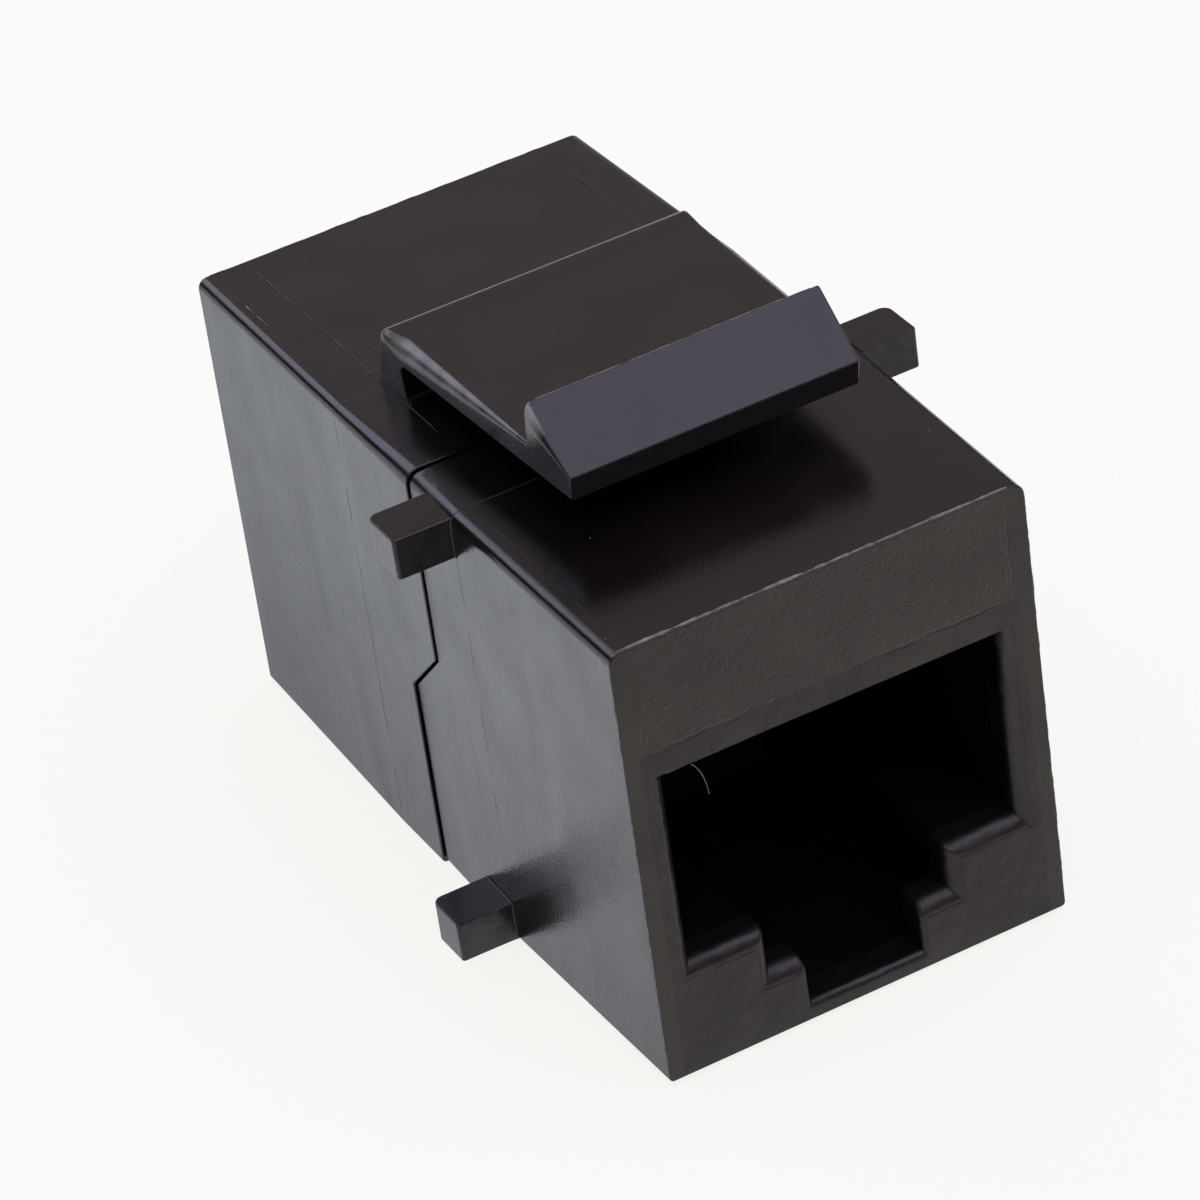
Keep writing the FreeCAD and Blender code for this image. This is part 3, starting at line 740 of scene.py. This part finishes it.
def flash_tree():
    """Bead along a curve through three places, with an uneven thickness between two radii."""
    tree = bpy.data.node_groups.new("flash_bead", "GeometryNodeTree")
    for kind, names in (("NodeSocketVector", ("Start", "Middle", "End")),
                        ("NodeSocketFloat", ("Thin", "Thick", "Lump Length", "Wander", "Seed")),
                        ("NodeSocketMaterial", ("Finish",))):
        for name in names:
            tree.interface.new_socket(name, in_out="INPUT", socket_type=kind)
    tree.interface.new_socket("Geometry", in_out="OUTPUT", socket_type="NodeSocketGeometry")
    given = add_node(tree, "NodeGroupInput").outputs
    path = add_node(tree, "GeometryNodeCurveQuadraticBezier",
                    {"Start": given["Start"], "Middle": given["Middle"], "End": given["End"]},
                    {"Resolution": PATH_STEPS})
    spaced = add_node(tree, "GeometryNodeResampleCurve", {"Curve": path}, {"Length": FLASH_SPACING_MM * MM},
                      mode="LENGTH")
    place = add_node(tree, "GeometryNodeInputPosition")
    frequency = add_node(tree, "ShaderNodeMath", {1: given["Lump Length"]}, {0: 1.0}, operation="DIVIDE")
    lumps = add_node(tree, "ShaderNodeTexNoise", {"Vector": place, "W": given["Seed"], "Scale": frequency},
                     {"Detail": 3.0}, noise_dimensions="4D")
    centred = add_node(tree, "ShaderNodeVectorMath", {0: lumps.outputs["Color"]}, {1: (0.5, 0.5, 0.5)},
                       operation="SUBTRACT")
    shift = add_node(tree, "ShaderNodeVectorMath", {"Vector": centred, "Scale": given["Wander"]},
                     operation="SCALE")
    wandered = add_node(tree, "GeometryNodeSetPosition", {"Geometry": spaced, "Offset": shift})
    thickness = add_node(tree, "ShaderNodeMapRange",
                         {"Value": lumps, "To Min": given["Thin"], "To Max": given["Thick"]},
                         {"From Min": LUMP_SPAN[0], "From Max": LUMP_SPAN[1]})
    section = add_node(tree, "GeometryNodeCurvePrimitiveCircle",
                       inputs={"Resolution": FLASH_SIDES, "Radius": 1.0})
    swept = add_node(tree, "GeometryNodeCurveToMesh",
                     {"Curve": wandered, "Profile Curve": section, "Scale": thickness}, {"Fill Caps": True})
    smooth = add_node(tree, "GeometryNodeSetShadeSmooth", {"Geometry": swept})
    real = add_node(tree, "GeometryNodeRealizeInstances", {"Geometry": smooth})
    coloured = add_node(tree, "GeometryNodeSetMaterial", {"Geometry": real, "Material": given["Finish"]})
    add_node(tree, "NodeGroupOutput", {"Geometry": coloured})
    return tree


def grown(name, tree, material, sizes, carrier=None):
    """Piece that a tree grows, from nothing or from a carrier's surface, as a plain mesh."""
    piece = link_piece(name, carrier.data.copy() if carrier else bpy.data.meshes.new(name), material)
    growth = piece.modifiers.new("growth", "NODES")
    growth.node_group = tree
    for socket in tree.interface.items_tree:
        if socket.in_out == "INPUT" and socket.name in sizes:
            growth[socket.identifier] = sizes[socket.name]
    return settle(piece)


whitened_abs = thin_abs("thin_whitened_abs", FLASH_GREY, FLASH_PALE)
grey_abs = thin_abs("thin_grey_abs", WITNESS_DARK, WITNESS_GREY)
bead = flash_tree()


def flash_line(name, ends, radii, lump, wander, seed, finish, body="housing", bow=(0, 0, 0)):
    """Flash between two places, bowed at its middle, of a least and a greatest radius, that rides on a body.

    Its places, radii, bow, wander and the length of a lump are in mm.
    """
    start, end = (Vector(place) * MM for place in ends)
    line = grown(name, bead, finish,
                 {"Start": start, "Middle": (start + end) / 2 + Vector(bow) * MM, "End": end,
                  "Thin": radii[0] * MM, "Thick": radii[1] * MM, "Lump Length": lump * MM,
                  "Wander": wander * MM, "Seed": seed, "Finish": finish})
    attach(line, body)


def level_line(left, right, y, z):
    """Ends of a line straight across the coupler, at a depth and a height."""
    return (left, y, z), (right, y, z)


FRONT_Y_MM = cad_low.y / MM
REAR_Y_MM = cad_high.y / MM
RIDGE_Y_MM = latch_low.y + RIDGE_LENGTH_MM
RIDGE_Z_MM = latch_high.z - 0.055
FRONT_HALF_WIDTH_MM = 7.24
PORT_HALF_WIDTH_MM = 5.9
LAND_LINE_Z_MM = LAND_Z_MM - 0.005
CREASE_LINE_Z_MM = LAND_Z_MM - 0.004
REAR_LINE_RISE_MM = 0.004
SEAM_END_Y_MM = 0.15
flash_line("front_edge_flash", level_line(-6.95, 6.70, FRONT_Y_MM + 0.11, 16.18), radii=(0.030, 0.085),
           lump=0.32, wander=0.05, seed=1.0, finish=whitened_abs)
flash_line("rear_edge_flash", level_line(-6.75, 6.75, REAR_Y_MM - 0.06, 16.15), radii=(0.004, 0.040),
           lump=0.90, wander=0.03, seed=9.0, finish=grey_abs)
# Pale bead along the port's ceiling edge: a painted highlight, the thin light line of that edge.
flash_line("port_edge_painted_highlight", level_line(-PORT_HALF_WIDTH_MM, PORT_HALF_WIDTH_MM, FRONT_Y_MM + 0.03, 11.36),
           radii=(0.005, 0.022), lump=0.60, wander=0.01, seed=8.0, finish=whitened_abs)
flash_line("ridge_flash", level_line(-4.70, 5.02, RIDGE_Y_MM, RIDGE_Z_MM), radii=(0.012, 0.032),
           lump=0.50, wander=0.02, seed=10.0, finish=whitened_abs, body="latch")
flash_line("front_crease_witness", level_line(-6.8, -3.5, FRONT_CREASE_Y_MM, CREASE_LINE_Z_MM),
           radii=(0.004, 0.020), lump=0.80, wander=0.02, seed=4.0, finish=grey_abs)
for label, side, witness_x, setback in (("left", -1, -5.46, 1.0), ("right", 1, 5.68, 2.1)):
    crease = (witness_x, REAR_CREASE_Y_MM, LAND_LINE_Z_MM)
    rear_y = REAR_Y_MM - setback
    rear_z = section_at(REAR_SECTIONS_MM, rear_y)[1] + REAR_LINE_RISE_MM
    front_side = (side * FRONT_HALF_WIDTH_MM, FRONT_Y_MM + 0.06)
    flash_line("rear_top_witness_" + label, ((witness_x, rear_y, rear_z), crease), radii=(0.014, 0.036),
               lump=0.80, wander=0.02, seed=2.0 + side, finish=grey_abs)
    flash_line("land_witness_" + label, (crease, (witness_x, SEAM_END_Y_MM, LAND_LINE_Z_MM)),
               radii=(0.008, 0.024), lump=0.80, wander=0.02, seed=3.0 + side, finish=grey_abs)
    flash_line("front_side_flash_" + label, ((*front_side, 0.8), (*front_side, 15.7)), radii=(0.010, 0.045),
               lump=0.50, wander=0.03, seed=7.0 + side, finish=whitened_abs)
flash_line("front_top_witness", ((-6.66, -4.9, 16.333), (-6.60, -13.0, 16.208)), radii=(0.004, 0.016),
           lump=0.70, wander=0.02, seed=11.0, finish=grey_abs)
flash_line("left_edge_witness", ((-6.72, REAR_Y_MM - 2.7, 16.22), (-6.72, 9.5, 16.25)), radii=(0.008, 0.026),
           lump=0.60, wander=0.02, seed=6.0, finish=whitened_abs)
# Pale curled bead hanging from the port's ceiling at its left corner.
flash_line("port_whisker", ((-5.25, FRONT_Y_MM + 0.35, 11.36), (-4.36, FRONT_Y_MM + 0.5, 9.62)),
           radii=(0.014, 0.028), lump=0.60, wander=0.04, seed=5.0, finish=whitened_abs,
           bow=(0.40, 0.1, 0.28))

# Dust: pale fluff that has settled on the upward faces of the case and of the latch.
# It is drawn as tiny round specks, a few dozen in all.
DUST_PALE = "#8f8a84"
DUST_GREY = "#5f5b57"
DUST_ROUGHNESS = 0.9
DUST_TONE_MM = 2.0
DUST_RADIUS_MM = 0.026
DUST_SIZES = (0.35, 1.3)
DUST_PER_SQUARE_MM = 0.07
DUST_LIES_ON = 0.85
CASE_TOP_ABOVE_MM = 16.0
ARM_TOP_ABOVE_MM = 18.6


def dust_fluff():
    """Pale dry dust, a little greyer from speck to speck."""
    material, tree, place = new_material("dust_fluff")
    tone = add_node(tree, "ShaderNodeTexNoise", {"Vector": place}, {"Scale": 1 / (DUST_TONE_MM * MM)})
    colour = add_node(tree, "ShaderNodeMix", {"Factor": tone},
                      {"A": linear(DUST_PALE), "B": linear(DUST_GREY)}, data_type="RGBA")
    shader = add_node(tree, "ShaderNodeBsdfPrincipled", {"Base Color": colour},
                      {"Roughness": DUST_ROUGHNESS})
    add_node(tree, "ShaderNodeOutputMaterial", {"Surface": shader})
    return material


def dust_tree():
    """Specks scattered on the upward faces above a height and in front of a depth."""
    tree = bpy.data.node_groups.new("dust_specks", "GeometryNodeTree")
    for kind, names in (("NodeSocketGeometry", ("Geometry",)),
                        ("NodeSocketFloat", ("Above", "In Front Of", "Density", "Radius")),
                        ("NodeSocketInt", ("Seed",)), ("NodeSocketMaterial", ("Finish",))):
        for name in names:
            tree.interface.new_socket(name, in_out="INPUT", socket_type=kind)
    tree.interface.new_socket("Geometry", in_out="OUTPUT", socket_type="NodeSocketGeometry")
    given = add_node(tree, "NodeGroupInput").outputs
    where = add_node(tree, "ShaderNodeSeparateXYZ",
                     {"Vector": add_node(tree, "GeometryNodeInputPosition")}).outputs
    facing = add_node(tree, "ShaderNodeSeparateXYZ",
                      {"Vector": add_node(tree, "GeometryNodeInputNormal")}).outputs
    upward = add_node(tree, "ShaderNodeMath", {0: facing["Z"]}, {1: DUST_LIES_ON}, operation="GREATER_THAN")
    high = add_node(tree, "ShaderNodeMath", {0: where["Z"], 1: given["Above"]}, operation="GREATER_THAN")
    forward = add_node(tree, "ShaderNodeMath", {0: where["Y"], 1: given["In Front Of"]},
                       operation="LESS_THAN")
    on_top = add_node(tree, "ShaderNodeMath", {0: upward, 1: high}, operation="MULTIPLY")
    chosen = add_node(tree, "ShaderNodeMath", {0: on_top, 1: forward}, operation="MULTIPLY")
    points = add_node(tree, "GeometryNodeDistributePointsOnFaces",
                      {"Mesh": given["Geometry"], "Selection": chosen, "Density": given["Density"],
                       "Seed": given["Seed"]})
    ball = add_node(tree, "GeometryNodeMeshIcoSphere", {"Radius": given["Radius"]}, {"Subdivisions": 2})
    speck = add_node(tree, "GeometryNodeSetShadeSmooth", {"Geometry": ball})
    size = add_node(tree, "FunctionNodeRandomValue", {"Seed": given["Seed"]},
                    {"Min": DUST_SIZES[0], "Max": DUST_SIZES[1]}, data_type="FLOAT")
    specks = add_node(tree, "GeometryNodeInstanceOnPoints",
                      {"Points": points, "Instance": speck, "Scale": size})
    real = add_node(tree, "GeometryNodeRealizeInstances", {"Geometry": specks})
    coloured = add_node(tree, "GeometryNodeSetMaterial", {"Geometry": real, "Material": given["Finish"]})
    add_node(tree, "NodeGroupOutput", {"Geometry": coloured})
    return tree


fluff = dust_fluff()
dust = dust_tree()
for carrier, body, above, ahead_of, seed in (
        (front_half, "housing", CASE_TOP_ABOVE_MM, REAR_Y_MM, 3),
        (rear_half, "housing", CASE_TOP_ABOVE_MM, REAR_Y_MM, 8),
        (latch_moulding, "latch", ARM_TOP_ABOVE_MM, root_place.y - BEND_LENGTH_MM, 5)):
    specks = grown("dust_on_" + carrier.name, dust, fluff,
                   {"Above": above * MM, "In Front Of": ahead_of * MM, "Radius": DUST_RADIUS_MM * MM,
                    "Density": DUST_PER_SQUARE_MM / MM ** 2, "Seed": seed, "Finish": fluff}, carrier)
    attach(specks, body)

# Studio: a matt white table under large soft lights, in a dim warm room. The case's left side
# mirrors the table beside and behind it at a low angle, and its front the table ahead of it; there the
# table shows painted reflection tints, bluish beside and behind and warm ahead, in place of its own white.
TABLE_WHITE = "#fdfff9"
# Painted reflection tints: colours the table shows only in the case's reflections, not its own.
TABLE_PAINTED_REFLECTION_BEHIND = "#f0f5ff"
TABLE_PAINTED_REFLECTION_BESIDE = "#f2f6ff"
TABLE_PAINTED_REFLECTION_AHEAD = "#efe8e3"
BESIDE_FROM_MM = (-16, -10)
BEHIND_FROM_MM = (0, 14)
TABLE_SIZE = 3.0
TABLE_GLOW = 0.84


def table_top():
    """Matt white table: bright to the eye and in reflections, with a soft shadow left in it; in reflections
    its colour is a painted tint that changes with depth.
    """
    material, tree, place = new_material("matt_white_table")
    matt = add_node(tree, "ShaderNodeBsdfDiffuse", inputs={"Color": linear(TABLE_WHITE)})
    path = add_node(tree, "ShaderNodeLightPath").outputs
    depth = add_node(tree, "ShaderNodeSeparateXYZ", {"Vector": place}).outputs["Y"]
    beside = add_node(tree, "ShaderNodeMapRange", {"Value": depth},
                      {"From Min": BESIDE_FROM_MM[0] * MM, "From Max": BESIDE_FROM_MM[1] * MM})
    behind = add_node(tree, "ShaderNodeMapRange", {"Value": depth},
                      {"From Min": BEHIND_FROM_MM[0] * MM, "From Max": BEHIND_FROM_MM[1] * MM})
    nearer_painted_reflection = add_node(tree, "ShaderNodeMix", {"Factor": beside},
                      {"A": linear(TABLE_PAINTED_REFLECTION_AHEAD), "B": linear(TABLE_PAINTED_REFLECTION_BESIDE)},
                      data_type="RGBA")
    painted_reflection = add_node(tree, "ShaderNodeMix", {"Factor": behind, "A": nearer_painted_reflection},
                        {"B": linear(TABLE_PAINTED_REFLECTION_BEHIND)}, data_type="RGBA")
    # Glossy rays see the painted reflection tint in place of the table's white.
    reflection_tint = add_node(tree, "ShaderNodeMix", {"Factor": path["Is Glossy Ray"], "B": painted_reflection},
                    {"A": linear(TABLE_WHITE)}, data_type="RGBA")
    glow = add_node(tree, "ShaderNodeEmission", {"Color": reflection_tint}, {"Strength": 1.0})
    seen = add_node(tree, "ShaderNodeMath", {0: path["Is Camera Ray"]}, {1: TABLE_GLOW},
                    operation="MULTIPLY")
    share = add_node(tree, "ShaderNodeMath", {0: seen, 1: path["Is Glossy Ray"]}, operation="MAXIMUM")
    mixed = add_node(tree, "ShaderNodeMixShader", {"Fac": share, 1: matt, 2: glow})
    add_node(tree, "ShaderNodeOutputMaterial", {"Surface": mixed})
    return material


table = bmesh.new()
bmesh.ops.create_grid(table, x_segments=1, y_segments=1, size=TABLE_SIZE / 2)
floor = link_piece("table", mesh_from(table, "table"), table_top())

ROOM_WARM = "#ad9d9d"
ROOM_DARK_BELOW = 0.18
ROOM_LIT_ABOVE = 0.42
ROOM_DIMMEST = 0.08
world = bpy.data.worlds.new("dim_room")
bpy.context.scene.world = world
world.use_nodes = True
world.node_tree.nodes.clear()
direction = add_node(world.node_tree, "ShaderNodeTexCoord").outputs["Generated"]
height = add_node(world.node_tree, "ShaderNodeSeparateXYZ", {"Vector": direction}).outputs["Z"]
lit = add_node(world.node_tree, "ShaderNodeMapRange", {"Value": height},
               {"From Min": ROOM_DARK_BELOW, "From Max": ROOM_LIT_ABOVE,
                "To Min": ROOM_DIMMEST, "To Max": 1.0})
room = add_node(world.node_tree, "ShaderNodeBackground", {"Strength": lit}, {"Color": linear(ROOM_WARM)})
add_node(world.node_tree, "ShaderNodeOutputWorld", {"Surface": room})


def softbox(name, place, width, depth, radiance, colour):
    """Rectangular soft light of an even radiance, at a place in metres, that faces the coupler."""
    lamp = bpy.data.lights.new(name, "AREA")
    lamp.shape = "RECTANGLE"
    lamp.size = width
    lamp.size_y = depth
    lamp.color = linear(colour)[:3]
    lamp.energy = radiance * math.pi * width * depth
    holder = bpy.data.objects.new(name, lamp)
    holder.location = place
    holder.rotation_euler = (-Vector(place)).to_track_quat("-Z", "Y").to_euler()
    bpy.context.scene.collection.objects.link(holder)


softbox("overhead_softbox", place=(0.05, -0.15, 0.6), width=0.9, depth=0.8, radiance=1.6, colour="#dcd8ff")
softbox("left_softbox", place=(-0.20, 0.72, 0.49), width=0.62, depth=0.32, radiance=2.25, colour="#d3ddff")
softbox("rear_low_softbox", place=(0.30, 0.85, 0.15), width=0.5, depth=0.28, radiance=1.0, colour="#ece9ff")

# Camera: a long lens that looks down on the front left corner, a little rolled.
# Its place, angles and focal length are fitted to the coupler's straight edges.
CAMERA_PLACE_MM = (-69.98, -150.84, 119.20)
CAMERA_AZIMUTH = -24.614
CAMERA_ELEVATION = 33.821
CAMERA_ROLL = -8.418
FOCAL_LENGTH_MM = 186.38
SENSOR_WIDTH_MM = 36.0
SEEN_FROM = 0.01
lens = bpy.data.cameras.new("camera")
lens.lens = FOCAL_LENGTH_MM
lens.sensor_width = SENSOR_WIDTH_MM
lens.clip_start = SEEN_FROM
camera = bpy.data.objects.new("camera", lens)
camera.location = Vector(CAMERA_PLACE_MM) * MM
level = Euler((math.radians(90 - CAMERA_ELEVATION), 0, math.radians(CAMERA_AZIMUTH)), "XYZ").to_matrix()
camera.rotation_euler = (level @ Matrix.Rotation(math.radians(CAMERA_ROLL), 3, "Z")).to_euler()
bpy.context.scene.collection.objects.link(camera)
bpy.context.scene.camera = camera
bpy.context.scene.view_settings.view_transform = "Standard"
